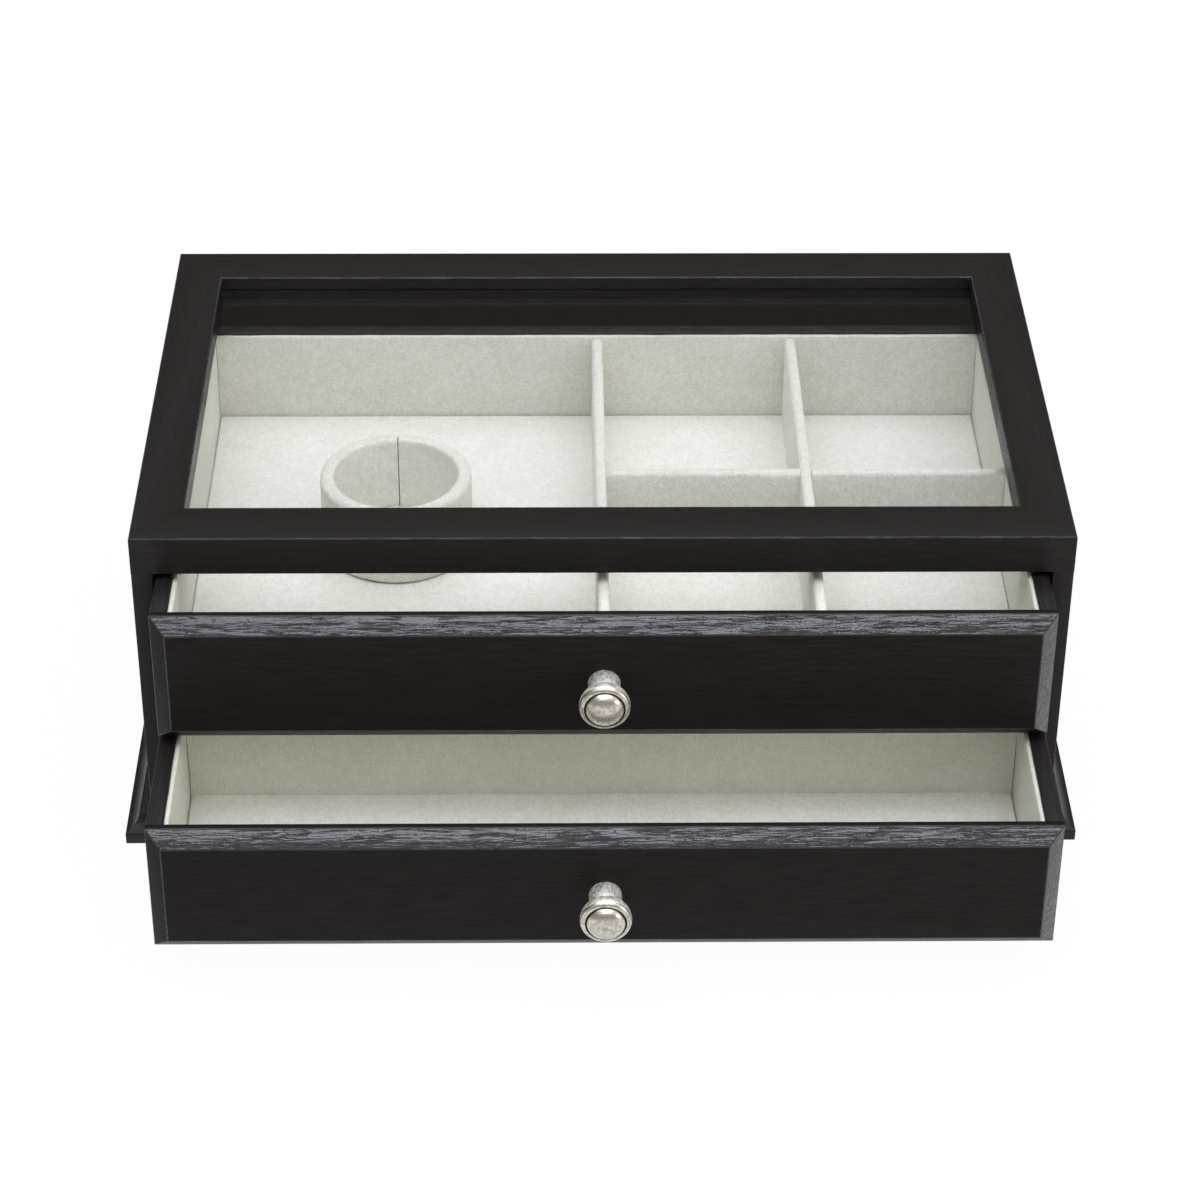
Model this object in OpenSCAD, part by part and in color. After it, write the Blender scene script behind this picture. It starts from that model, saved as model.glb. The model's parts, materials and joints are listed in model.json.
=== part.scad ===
// Jewellery box in black lacquered wood: a glass top in a fixed frame, a case on
// a coved plinth, and two inset drawers lined with felt. The upper drawer is
// split by dividers and holds a felt covered ring for bracelets and watches.
// The origin is the middle of the case's footprint, on the surface it stands on.
// The drawers' fronts face -Y, and both drawers are drawn as they stand open.

/* [Case] */
// Width of the case across its side panels
case_w = 305; // [260:1:360]
// Depth of the case from its front edge to its back face
case_d = 190; // [160:1:230]
// Thickness of the side panels
panel_t = 7; // [6:0.5:10]
// Thickness of the back panel
back_t = 3.5; // [3:0.5:4.5]
// How far the back panel laps onto each side panel
back_lap = 4; // [3:0.5:5]
// Thickness of the dust panel between the drawers
shelf_t = 3; // [2.5:0.5:5]
// Depth of the grooves that hold the dust panel
shelf_lap = 2.5; // [2:0.5:4]
// Width of the strips that the lower drawer slides on
runner_w = 9; // [6:0.5:14]

/* [Plinth] */
// Thickness of the base board
base_t = 9; // [6:0.5:12]
// Width of the flat ledge on each side between the case and the moulding
ledge_w = 4; // [2:0.5:8]
// How far the moulding stands out from the base board
cove_proj = 4.8; // [3.5:0.1:8]
// Height of the upright edge under the cove
fillet_h = 4.1; // [2.5:0.1:5]
// Depth of the hollow of the cove below its chord
cove_sag = 1.1; // [0.6:0.1:1.5]
// Thickness of the felt sheet under the base board
felt_t = 1; // [0.8:0.1:2]
// How far the felt stands below the moulding
felt_proud = 0.3; // [0.2:0.1:0.6]

/* [Top frame] */
// Thickness of the frame that holds the glass
frame_t = 13.5; // [11:0.5:18]
// Width of the frame's left and right rails
rail_side_w = 16.5; // [14:0.5:24]
// Width of the frame's front and rear rails
rail_end_w = 18.5; // [14:0.5:26]
// Depth of the glass below the top of the frame
glass_drop = 4.7; // [3:0.1:6]
// Thickness of the glass
glass_t = 2; // [1.5:0.1:3]
// Width of the rebate that the glass lies in
rebate_w = 6; // [5:0.5:8]
// Width of the beads that hold the glass up
bead_w = 5.4; // [4:0.1:5.6]

/* [Drawers] */
// Height of each drawer front
front_h = 47.4; // [42:0.1:60]
// Gap above, between and below the drawer fronts
reveal = 0.9; // [0.6:0.1:1.5]
// Gap on each side of a drawer
side_gap = 0.7; // [0.4:0.1:1.2]
// Thickness of a drawer front at its outer edge
edge_t = 2.4; // [2:0.1:5]
// Width of the bevel round a drawer front
bevel_w = 5; // [3:0.1:8]
// Height of the raised field above the start of the bevel
bevel_d = 4.5; // [3:0.1:6]
// Thickness of a drawer's sides
side_t = 5.4; // [4.5:0.1:8]
// Thickness of a drawer's back
rear_t = 5; // [4:0.1:8]
// Thickness of a drawer's bottom
bottom_t = 3; // [2.5:0.1:4]
// Height of a drawer's bottom above the lower edge of its sides
bottom_up = 5; // [3.5:0.1:7]
// Depth of the groove that holds a drawer's bottom
groove_d = 2.5; // [1.5:0.1:2.6]
// Room behind a closed drawer, filled by the stop pads
back_room = 2; // [1:0.1:5]
// How far the upper drawer stands open
upper_pull = 22.5; // [0:0.5:60]
// How far the lower drawer stands open
lower_pull = 70; // [62:0.5:100]

/* [Linings] */
// Thickness of the felt covered boards on the drawers' walls
lining_t = 1.6; // [1:0.1:2.5]
// How far the linings stop below the top of the wood
lining_drop = 0.8; // [0:0.1:2]
// Thickness of the pad on a drawer's floor
pad_t = 3; // [1.5:0.1:4]
// Thickness of the dividers
divider_t = 3.8; // [3:0.1:5]
// How far the dividers stop below the top of the linings
divider_drop = 1; // [0:0.5:6]
// Place of the divider that parts the upper drawer, right of the middle
long_divider_shift = 0; // [-20:0.5:20]
// Place of the cross divider in the upper drawer, behind the middle of its floor
cross_divider_shift = -2; // [-20:0.5:20]
// Place of the lower drawer's divider, as a share of the depth of its floor
lower_divider_share = 0.345; // [0.25:0.005:0.6]

/* [Bracelet ring] */
// Diameter of the hole through the ring
ring_id = 42.6; // [34:0.2:50]
// Thickness of the ring's wall with its felt
ring_wall_t = 4.6; // [3.6:0.1:7]
// Height of the ring
ring_h = 27.5; // [20:0.5:30]
// Thickness of the felt round the ring's core
ring_felt_t = 0.9; // [0.6:0.1:1.2]
// Place of the ring's middle, behind the middle of the drawer's floor
ring_shift = 3.5; // [-20:0.5:20]

/* [Knobs] */
// Diameter of the knob's head
knob_d = 16.5; // [15:0.5:20]
// Length of the knob from the drawer front to the top of its dome
knob_l = 17.2; // [16:0.1:20]
// Diameter of the knob's foot
foot_d = 10.5; // [9.5:0.5:12]
// Diameter of the knob's neck
neck_d = 9; // [7:0.1:10]
// Diameter of the groove in the knob's face
ring_groove_d = 12.9; // [11:0.1:13]

/* [Hidden] */
$fn = 96;

// Clearances, and the overrun of every cut
fit = 0.1;
slide_gap = 0.3;
pad_gap = 0.4;
corner_gap = 0.2;
over = 1;

// Case
half_w = case_w / 2;
front_y = -case_d / 2;
back_y = case_d / 2;
inner_x = half_w - panel_t;
base_z = felt_t;
base_top = base_z + base_t;
opening_h = 2 * front_h + 3 * reveal;
frame_z = base_top + opening_h;
top_z = frame_z + frame_t;
back_x = inner_x + back_lap;
felt_inset = 1.5;

// Places of the drawers' lower edges, and of the dust panel between them
lower_z = base_top + reveal;
upper_z = lower_z + front_h + reveal;
shelf_z = upper_z - (reveal + shelf_t) / 2;
shelf_setback = edge_t + slide_gap;
shelf_x = inner_x + shelf_lap;

// Drawer boxes: y counts from the front's outer edge, z from its lower edge
drawer_x = inner_x - side_gap;
box_low = (shelf_t - reveal) / 2 + slide_gap;
box_high = front_h - box_low;
box_back = case_d - back_t - back_room;
wall_x = drawer_x - side_t;
bottom_z = box_low + bottom_up;
bed_z = bottom_z + bottom_t;
pad_top = bed_z + pad_t;
lining_high = box_high - lining_drop;
lining_x = wall_x - lining_t;
room_front = edge_t + lining_t;
room_back = box_back - rear_t - lining_t;
divider_high = lining_high - divider_drop;
room_middle = (room_front + room_back) / 2;
cross_divider_y = room_middle + cross_divider_shift;
lower_divider_y = room_front + (room_back - room_front) * lower_divider_share;
runner_t = reveal + box_low - slide_gap;
knob_z = front_h / 2;

// Glass and its rebate
glass_z = top_z - glass_drop - glass_t;
open_x = half_w - rail_side_w;
open_y = case_d / 2 - rail_end_w;
glass_gap = 0.4;
bead_gap = 0.4;
bead_z = frame_z + bead_gap;

// Pins and screws
bead_pin_r = 0.5;
bead_pin_l = 9;
screw_r = 1.5;
screw_head_r = 3;
screw_head_h = 1.8;
screw_l = 24;
screw_end_gap = 18;
nail_r = 0.6;
nail_head_r = 1.3;
nail_head_h = 0.5;
nail_l = 13;
nail_end_gap = 10;
nail_place_shares = [-1, -0.4, 0.4, 1];
dowel_r = 2;
dowel_l = 16;
dowel_end_gap = 26;
bolt_r = 1.9;
bolt_head_r = 3.6;
bolt_head_h = 1.5;
bolt_grip = 8;
stop_r = 5;
stop_x = 110;

// Knob profile: the end of the foot's curve, the neck, the head's widest place, the
// inner edge of its rim and the bed of the dome
foot_l = 7;
neck_l = 0.6;
rim_at = 12.6;
lip_at = 14.3;
lip_in = 0.5;
groove_cut = 0.7;
groove_w = 0.7;
arc_steps = 12;

// A box from its two corners
module block(low, high) {
    translate(low) cube(high - low);
}

// Section of the plinth moulding: x runs outwards from the base board, y is up.
// The hollow is a round cut whose middle follows from the chord and its sag.
module cove_section() {
    low = felt_proud;
    rise = base_top - low - fillet_h;
    chord = sqrt(cove_proj * cove_proj + rise * rise);
    radius = chord * chord / (8 * cove_sag) + cove_sag / 2;
    reach = (radius - cove_sag) / chord;
    difference() {
        translate([0, low]) square([cove_proj, base_top - low]);
        translate([
            cove_proj / 2 + reach * rise,
            low + fillet_h + rise / 2 + reach * cove_proj
        ]) circle(r = radius, $fn = 160);
    }
}

// A mitred length of moulding along X, its inner face at y = 0, facing -Y
module moulding(length) {
    half = length / 2;
    intersection() {
        rotate([90, 0, -90])
            linear_extrude(height = length + 4 * cove_proj, center = true) cove_section();
        linear_extrude(height = base_top)
            polygon([
                [-half, 0],
                [half, 0],
                [half + cove_proj, -cove_proj],
                [-half - cove_proj, -cove_proj]
            ]);
    }
}

module plinth_front() {
    color("#211d1c") translate([0, front_y, 0]) moulding(case_w + 2 * ledge_w);
}

module plinth_rear() {
    color("#211d1c") translate([0, back_y, 0]) rotate([0, 0, 180]) moulding(case_w + 2 * ledge_w);
}

module plinth_left() {
    color("#211d1c") translate([-half_w - ledge_w, 0, 0]) rotate([0, 0, -90]) moulding(case_d);
}

module plinth_right() {
    color("#211d1c") translate([half_w + ledge_w, 0, 0]) rotate([0, 0, 90]) moulding(case_d);
}

// Screws that hold the base board to the side panels, three on each side
module at_base_screws() {
    for (side = [-1, 1])
        for (step = [-1, 0, 1])
            translate([
                side * (inner_x + panel_t / 2),
                step * (case_d / 2 - screw_end_gap),
                base_z
            ]) children();
}

module countersunk(shaft_r, grow) {
    cylinder(r = shaft_r + grow, h = screw_l);
    cylinder(r1 = screw_head_r + grow, r2 = shaft_r + grow, h = screw_head_h);
}

module base_screws() {
    color("silver") at_base_screws() countersunk(screw_r, 0);
}

module base_board() {
    color("#211d1c") difference() {
        block([-half_w - ledge_w, front_y, base_z], [half_w + ledge_w, back_y, base_top]);
        at_base_screws() {
            translate([0, 0, -over]) cylinder(r = screw_r + fit, h = base_t + 2 * over);
            countersunk(screw_r, fit);
        }
    }
}

module base_felt() {
    color("#2b2a2b") block(
        [-half_w - ledge_w + felt_inset, front_y + felt_inset, 0],
        [half_w + ledge_w - felt_inset, back_y - felt_inset, felt_t]
    );
}

// Small nails that hold the back panel in its rebates, clear of the dust panel
module at_nails() {
    for (side = [-1, 1])
        for (step = nail_place_shares)
            translate([
                side * (inner_x + back_lap / 2),
                back_y,
                (base_top + frame_z) / 2 + step * (opening_h / 2 - nail_end_gap)
            ]) rotate([90, 0, 0]) children();
}

module nail(grow) {
    cylinder(r = nail_r + grow, h = nail_l);
    cylinder(r = nail_head_r + grow, h = nail_head_h);
}

module back_panel_pins() {
    color("silver") at_nails() nail(0);
}

module back_panel() {
    color("#211d1c") difference() {
        block([-back_x, back_y - back_t, base_top], [back_x, back_y, frame_z]);
        at_nails() nail(fit);
    }
}

// Dowels between the side panels and the frame above them
module at_dowels() {
    for (side = [-1, 1])
        for (step = [-1, 0, 1])
            translate([
                side * (inner_x + panel_t / 2),
                step * (case_d / 2 - dowel_end_gap),
                frame_z - dowel_l / 2
            ]) children();
}

module frame_dowels() {
    color("burlywood") at_dowels() cylinder(r = dowel_r, h = dowel_l);
}

// A side panel, with its groove for the dust panel and its rebate for the back
module side_panel(side) {
    color("#211d1c") difference() {
        block(
            [min(side * inner_x, side * half_w), front_y, base_top],
            [max(side * inner_x, side * half_w), back_y, frame_z]
        );
        block(
            [-shelf_x, front_y + shelf_setback - fit, shelf_z],
            [shelf_x, back_y + over, shelf_z + shelf_t]
        );
        block([-back_x, back_y - back_t, base_top - over], [back_x, back_y + over, frame_z + over]);
        at_base_screws() countersunk(screw_r, fit);
        at_nails() nail(fit);
        at_dowels() cylinder(r = dowel_r + fit, h = dowel_l);
    }
}

module side_panel_left() {
    side_panel(-1);
}

module side_panel_right() {
    side_panel(1);
}

module dust_panel() {
    color("#2a2624") block(
        [-shelf_x + fit, front_y + shelf_setback, shelf_z],
        [shelf_x - fit, back_y - back_t, shelf_z + shelf_t]
    );
}

// A strip beside each side panel, under the lower drawer
module runner(side) {
    edge = inner_x - runner_w;
    color("#2a2624") block(
        [min(side * edge, side * inner_x), front_y + shelf_setback, base_top],
        [max(side * edge, side * inner_x), back_y - back_t, base_top + runner_t]
    );
}

module runner_left() {
    runner(-1);
}

module runner_right() {
    runner(1);
}

// Felt pads on the back panel that each closed drawer rests against
module stop_pads() {
    color("#2b2a2b")
        for (side = [-1, 1])
            for (low = [lower_z, upper_z])
                translate([side * stop_x, back_y - back_t, low + front_h / 2])
                    rotate([90, 0, 0]) cylinder(r = stop_r, h = back_room - slide_gap);
}

// Rails of the top frame: mitred boards with a rebate underneath for the glass
module rebate() {
    block(
        [-open_x - rebate_w, -open_y - rebate_w, frame_z - over],
        [open_x + rebate_w, open_y + rebate_w, top_z - glass_drop]
    );
}

module frame_rail(outline) {
    color("#211d1c") difference() {
        translate([0, 0, frame_z]) linear_extrude(height = frame_t) polygon(outline);
        rebate();
        at_dowels() cylinder(r = dowel_r + fit, h = dowel_l);
        at_bead_pins() cylinder(r = bead_pin_r + fit / 2, h = bead_pin_l);
    }
}

module end_rail(side) {
    frame_rail([
        [-half_w, side * back_y],
        [half_w, side * back_y],
        [open_x, side * open_y],
        [-open_x, side * open_y]
    ]);
}

module long_rail(side) {
    frame_rail([
        [side * half_w, front_y],
        [side * half_w, back_y],
        [side * open_x, open_y],
        [side * open_x, -open_y]
    ]);
}

module frame_rail_front() {
    end_rail(-1);
}

module frame_rail_rear() {
    end_rail(1);
}

module frame_rail_left() {
    long_rail(-1);
}

module frame_rail_right() {
    long_rail(1);
}

module glass_pane() {
    reach = rebate_w - glass_gap;
    color("lightblue", 0.3) block(
        [-open_x - reach, -open_y - reach, glass_z],
        [open_x + reach, open_y + reach, glass_z + glass_t]
    );
}

// Pins that hold the beads, driven outwards under the glass
module at_bead_pins() {
    pin_z = (bead_z + glass_z) / 2;
    start = rebate_w - bead_w;
    for (side = [-1, 1]) {
        for (step = [-1, 0, 1])
            translate([step * open_x * 2 / 3, side * (open_y + start), pin_z])
                rotate([-side * 90, 0, 0]) children();
        for (step = [-1, 1])
            translate([side * (open_x + start), step * open_y / 2, pin_z])
                rotate([0, side * 90, 0]) children();
    }
}

module bead_pins() {
    color("silver") at_bead_pins() cylinder(r = bead_pin_r, h = bead_pin_l);
}

// A mitred bead under the glass, its back face on the wall of the rebate
module bead(outline) {
    color("#211d1c") difference() {
        translate([0, 0, bead_z]) linear_extrude(height = glass_z - bead_z) polygon(outline);
        at_bead_pins() translate([0, 0, -over])
            cylinder(r = bead_pin_r + fit / 2, h = bead_pin_l + over);
    }
}

module end_bead(side) {
    out_x = open_x + rebate_w;
    out_y = open_y + rebate_w;
    bead([
        [-out_x, side * out_y],
        [out_x, side * out_y],
        [out_x - bead_w, side * (out_y - bead_w)],
        [-out_x + bead_w, side * (out_y - bead_w)]
    ]);
}

module long_bead(side) {
    out_x = open_x + rebate_w;
    out_y = open_y + rebate_w;
    bead([
        [side * out_x, -out_y],
        [side * out_x, out_y],
        [side * (out_x - bead_w), out_y - bead_w],
        [side * (out_x - bead_w), -out_y + bead_w]
    ]);
}

module glass_bead_front() {
    end_bead(-1);
}

module glass_bead_rear() {
    end_bead(1);
}

module glass_bead_left() {
    long_bead(-1);
}

module glass_bead_right() {
    long_bead(1);
}

// Where each drawer stands: the outer edge of its front, pulled out of the case
module in_upper() {
    translate([0, front_y - upper_pull, upper_z]) children();
}

module in_lower() {
    translate([0, front_y - lower_pull, lower_z]) children();
}

// A drawer front with a bevel on all four edges: two tapered prisms that cross
module drawer_front() {
    reach = edge_t - groove_d;
    color("#211d1c") difference() {
        intersection() {
            linear_extrude(height = front_h)
                polygon([
                    [-drawer_x, edge_t],
                    [-drawer_x, 0],
                    [-drawer_x + bevel_w, -bevel_d],
                    [drawer_x - bevel_w, -bevel_d],
                    [drawer_x, 0],
                    [drawer_x, edge_t]
                ]);
            rotate([90, 0, 90])
                linear_extrude(height = 2 * drawer_x, center = true)
                    polygon([
                        [edge_t, 0],
                        [0, 0],
                        [-bevel_d, bevel_w],
                        [-bevel_d, front_h - bevel_w],
                        [0, front_h],
                        [edge_t, front_h]
                    ]);
        }
        block(
            [-wall_x - groove_d, reach, bottom_z],
            [wall_x + groove_d, edge_t + over, bed_z]
        );
        translate([0, edge_t + over, knob_z]) rotate([90, 0, 0])
            cylinder(r = bolt_r + fit, h = edge_t + bevel_d + 2 * over);
    }
}

module drawer_side(side) {
    color("#1d1a19") difference() {
        block(
            [min(side * wall_x, side * drawer_x), edge_t, box_low],
            [max(side * wall_x, side * drawer_x), box_back, box_high]
        );
        block(
            [-wall_x - groove_d, edge_t - over, bottom_z],
            [wall_x + groove_d, box_back + over, bed_z]
        );
    }
}

module drawer_back() {
    color("#1d1a19") block([-wall_x, box_back - rear_t, bed_z], [wall_x, box_back, box_high]);
}

module drawer_bottom() {
    reach = wall_x + groove_d - fit;
    color("#2a2624") block(
        [-reach, edge_t - groove_d + fit, bottom_z],
        [reach, box_back, bed_z]
    );
}

// Felt covered boards on the inside of a drawer's walls
module lining_side(side) {
    color("#d5d5cc") block(
        [min(side * lining_x, side * wall_x), edge_t, bed_z],
        [max(side * lining_x, side * wall_x), box_back - rear_t, lining_high]
    );
}

module lining_front() {
    reach = lining_x - corner_gap;
    color("#d5d5cc") difference() {
        block([-reach, edge_t, bed_z], [reach, room_front, lining_high]);
        translate([0, room_front + over, knob_z]) rotate([90, 0, 0])
            cylinder(r = bolt_head_r + slide_gap, h = lining_t + 2 * over);
    }
}

module lining_rear() {
    reach = lining_x - corner_gap;
    color("#d5d5cc") block([-reach, room_back, bed_z], [reach, room_back + lining_t, lining_high]);
}

module floor_pad() {
    color("#e0e1da") block(
        [-lining_x + pad_gap, room_front + pad_gap, bed_z],
        [lining_x - pad_gap, room_back - pad_gap, pad_top]
    );
}

// A divider that stands on the floor pad, between two corners seen from above
module divider(low, high) {
    color("#dcdcd4") block(
        [low[0], low[1], pad_top],
        [high[0], high[1], divider_high]
    );
}

// The part of a crossing that is cut away, above or below half the height
module halving(x, y, from_z, to_z) {
    reach = divider_t / 2 + fit;
    block([x - reach, y - reach, from_z], [x + reach, y + reach, to_z]);
}

// A turned knob: foot, neck and a round head with a dome inside a groove.
// Its profile runs along Y after it is turned, with the foot on the drawer front.
function knob_foot() = [
    for (i = [0 : arc_steps])
        let (a = 90 * i / arc_steps)
        [neck_d / 2 + (foot_d - neck_d) / 2 * cos(a), foot_l * sin(a)]
];

function knob_flare() = [
    for (i = [1 : arc_steps])
        let (a = 90 * i / arc_steps)
        [
            neck_d / 2 + (knob_d - neck_d) / 2 * sin(a),
            foot_l + neck_l + (rim_at - foot_l - neck_l) * (1 - cos(a))
        ]
];

function knob_rim() = [
    for (i = [1 : arc_steps])
        let (a = 90 * i / arc_steps)
        [
            ring_groove_d / 2 + groove_w / 2 + (knob_d - ring_groove_d - groove_w) / 2 * cos(a),
            rim_at + (lip_at - rim_at) * sin(a)
        ]
];

function knob_dome() = [
    for (i = [0 : arc_steps])
        let (a = 90 * i / arc_steps)
        [
            (ring_groove_d - groove_w) / 2 * cos(a),
            lip_at - lip_in + (knob_l - lip_at + lip_in) * sin(a)
        ]
];

module knob() {
    color("#b9b4aa") translate([0, -bevel_d, knob_z]) rotate([90, 0, 0]) difference() {
        rotate_extrude() polygon(concat(
            [[0, 0]],
            knob_foot(),
            knob_flare(),
            knob_rim(),
            [[(ring_groove_d + groove_w) / 2, lip_at - groove_cut]],
            [[(ring_groove_d - groove_w) / 2, lip_at - groove_cut]],
            knob_dome()
        ));
        translate([0, 0, -over]) cylinder(r = bolt_r + fit / 2, h = bolt_grip + fit + over);
    }
}

module knob_screw() {
    color("silver") translate([0, edge_t, knob_z]) rotate([90, 0, 0]) {
        cylinder(r = bolt_r, h = edge_t + bevel_d + bolt_grip);
        translate([0, 0, -bolt_head_h]) cylinder(r = bolt_head_r, h = bolt_head_h);
    }
}

module upper_drawer_front() {
    in_upper() drawer_front();
}

module upper_drawer_side_left() {
    in_upper() drawer_side(-1);
}

module upper_drawer_side_right() {
    in_upper() drawer_side(1);
}

module upper_drawer_back() {
    in_upper() drawer_back();
}

module upper_drawer_bottom() {
    in_upper() drawer_bottom();
}

module upper_floor_pad() {
    in_upper() floor_pad();
}

module upper_lining_front() {
    in_upper() lining_front();
}

module upper_lining_rear() {
    in_upper() lining_rear();
}

module upper_lining_left() {
    in_upper() lining_side(-1);
}

module upper_lining_right() {
    in_upper() lining_side(1);
}

module long_divider() {
    in_upper() divider(
        [long_divider_shift - divider_t / 2, room_front + corner_gap],
        [long_divider_shift + divider_t / 2, room_back - corner_gap]
    );
}

// The short divider halves the room on the right. It and the cross divider pass
// through each other, each cut away for half its height.
crossing_x = (long_divider_shift + divider_t / 2 + lining_x) / 2;
crossing_z = (pad_top + divider_high) / 2;

module short_divider() {
    in_upper() difference() {
        divider(
            [crossing_x - divider_t / 2, room_front + corner_gap],
            [crossing_x + divider_t / 2, room_back - corner_gap]
        );
        halving(crossing_x, cross_divider_y, pad_top - over, crossing_z + fit / 2);
    }
}

module cross_divider() {
    in_upper() difference() {
        divider(
            [long_divider_shift + divider_t / 2 + corner_gap, cross_divider_y - divider_t / 2],
            [lining_x - corner_gap, cross_divider_y + divider_t / 2]
        );
        halving(crossing_x, cross_divider_y, crossing_z - fit / 2, divider_high + over);
    }
}

// The ring stands in the middle of the room on the left
ring_x = (long_divider_shift - divider_t / 2 - lining_x) / 2;
ring_y = room_middle + ring_shift;
ring_r = ring_id / 2;

// Wall of the ring, from its inner to its outer radius, with a round upper rim
module ring_wall(inner_r, outer_r, height) {
    wall = outer_r - inner_r;
    rotate_extrude() {
        translate([inner_r, 0]) square([wall, height - wall / 2]);
        translate([inner_r + wall / 2, height - wall / 2]) circle(r = wall / 2, $fn = 48);
    }
}

module in_ring() {
    in_upper() translate([ring_x, ring_y, pad_top]) children();
}

module bracelet_ring_core() {
    inset = ring_felt_t + fit;
    color("tan") in_ring()
        ring_wall(ring_r + inset, ring_r + ring_wall_t - inset, ring_h - inset);
}

module bracelet_ring_cover() {
    color("#d9d9d0") in_ring() difference() {
        ring_wall(ring_r, ring_r + ring_wall_t, ring_h);
        translate([0, 0, -over]) ring_wall(
            ring_r + ring_felt_t,
            ring_r + ring_wall_t - ring_felt_t,
            ring_h - ring_felt_t + over
        );
    }
}

module upper_knob() {
    in_upper() knob();
}

module upper_knob_screw() {
    in_upper() knob_screw();
}

module lower_drawer_front() {
    in_lower() drawer_front();
}

module lower_drawer_side_left() {
    in_lower() drawer_side(-1);
}

module lower_drawer_side_right() {
    in_lower() drawer_side(1);
}

module lower_drawer_back() {
    in_lower() drawer_back();
}

module lower_drawer_bottom() {
    in_lower() drawer_bottom();
}

module lower_floor_pad() {
    in_lower() floor_pad();
}

module lower_lining_front() {
    in_lower() lining_front();
}

module lower_lining_rear() {
    in_lower() lining_rear();
}

module lower_lining_left() {
    in_lower() lining_side(-1);
}

module lower_lining_right() {
    in_lower() lining_side(1);
}

module lower_divider() {
    in_lower() divider(
        [-lining_x + corner_gap, lower_divider_y - divider_t / 2],
        [lining_x - corner_gap, lower_divider_y + divider_t / 2]
    );
}

module lower_knob() {
    in_lower() knob();
}

module lower_knob_screw() {
    in_lower() knob_screw();
}

base_board();
plinth_front();
plinth_rear();
plinth_left();
plinth_right();
base_felt();
side_panel_left();
side_panel_right();
back_panel();
dust_panel();
runner_left();
runner_right();
stop_pads();
frame_rail_front();
frame_rail_rear();
frame_rail_left();
frame_rail_right();
glass_pane();
glass_bead_front();
glass_bead_rear();
glass_bead_left();
glass_bead_right();
bead_pins();
base_screws();
back_panel_pins();
frame_dowels();
upper_drawer_front();
upper_drawer_side_left();
upper_drawer_side_right();
upper_drawer_back();
upper_drawer_bottom();
upper_floor_pad();
upper_lining_front();
upper_lining_rear();
upper_lining_left();
upper_lining_right();
long_divider();
short_divider();
cross_divider();
bracelet_ring_core();
bracelet_ring_cover();
upper_knob();
upper_knob_screw();
lower_drawer_front();
lower_drawer_side_left();
lower_drawer_side_right();
lower_drawer_back();
lower_drawer_bottom();
lower_floor_pad();
lower_lining_front();
lower_lining_rear();
lower_lining_left();
lower_lining_right();
lower_divider();
lower_knob();
lower_knob_screw();
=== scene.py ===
# %% [markdown]
# # A lacquered jewellery box with a glass top
#
# The box is a case of black lacquered boards with a pane of glass in its top, and
# two drawers whose walls are lined with pale felt. The construction comes packed,
# with every board at its real size, so this file gives each piece its finish and
# the small forms that a joiner's and a liner's hands leave: eased arrises, open
# grain under lacquer, the soft edges of felt and the wear on a turned knob.

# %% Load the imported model
import json
import math

import bmesh
import bpy
from mathutils import Matrix, Vector, noise

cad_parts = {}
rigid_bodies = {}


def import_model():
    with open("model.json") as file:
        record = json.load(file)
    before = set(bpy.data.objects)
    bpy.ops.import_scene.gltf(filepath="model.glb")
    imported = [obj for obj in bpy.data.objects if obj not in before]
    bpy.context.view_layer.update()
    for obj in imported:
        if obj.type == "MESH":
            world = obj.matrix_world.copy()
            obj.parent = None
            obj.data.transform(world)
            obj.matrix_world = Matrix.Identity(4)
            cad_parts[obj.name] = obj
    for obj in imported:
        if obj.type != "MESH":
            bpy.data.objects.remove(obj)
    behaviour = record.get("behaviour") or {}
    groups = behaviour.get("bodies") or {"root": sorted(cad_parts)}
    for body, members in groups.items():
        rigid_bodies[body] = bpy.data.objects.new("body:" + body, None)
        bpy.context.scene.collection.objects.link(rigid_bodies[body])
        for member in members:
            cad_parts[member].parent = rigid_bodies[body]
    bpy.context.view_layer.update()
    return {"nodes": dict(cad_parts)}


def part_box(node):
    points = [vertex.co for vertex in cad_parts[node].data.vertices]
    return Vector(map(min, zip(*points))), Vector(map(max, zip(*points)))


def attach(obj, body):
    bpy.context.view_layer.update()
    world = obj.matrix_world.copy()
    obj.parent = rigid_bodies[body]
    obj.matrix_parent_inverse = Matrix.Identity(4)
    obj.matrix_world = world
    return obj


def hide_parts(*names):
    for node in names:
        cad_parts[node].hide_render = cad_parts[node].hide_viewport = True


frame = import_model()
MM = 0.001
boards = frame["nodes"]

# %% [markdown]
# ## The camera first
#
# The view looks down on the box by about 34 degrees from a little to the left of
# its middle, through a long lens. The three axes of the camera are worked out
# from its pitch, yaw and roll as right, down and forward, because a matrix made
# of named axes is easy to check: its columns are right, up and backward.

# %% Camera
LENS = 100.71
SENSOR = 36
CAMERA_AT = Vector((-17.3, -993.7, 714.8)) * MM
PITCH, YAW, ROLL = (math.radians(angle) for angle in (34.51, -1.036, -0.427))

turn_yaw = Matrix(((math.cos(YAW), math.sin(YAW), 0), (-math.sin(YAW), math.cos(YAW), 0), (0, 0, 1)))
turn_pitch = Matrix(((1, 0, 0), (0, -math.sin(PITCH), -math.cos(PITCH)), (0, math.cos(PITCH), -math.sin(PITCH))))
turn_roll = Matrix(((math.cos(ROLL), math.sin(ROLL), 0), (-math.sin(ROLL), math.cos(ROLL), 0), (0, 0, 1)))
right, down, forward = turn_roll @ turn_pitch @ turn_yaw
placed = Matrix((right, -down, -forward)).transposed().to_4x4()
placed.translation = CAMERA_AT

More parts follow.
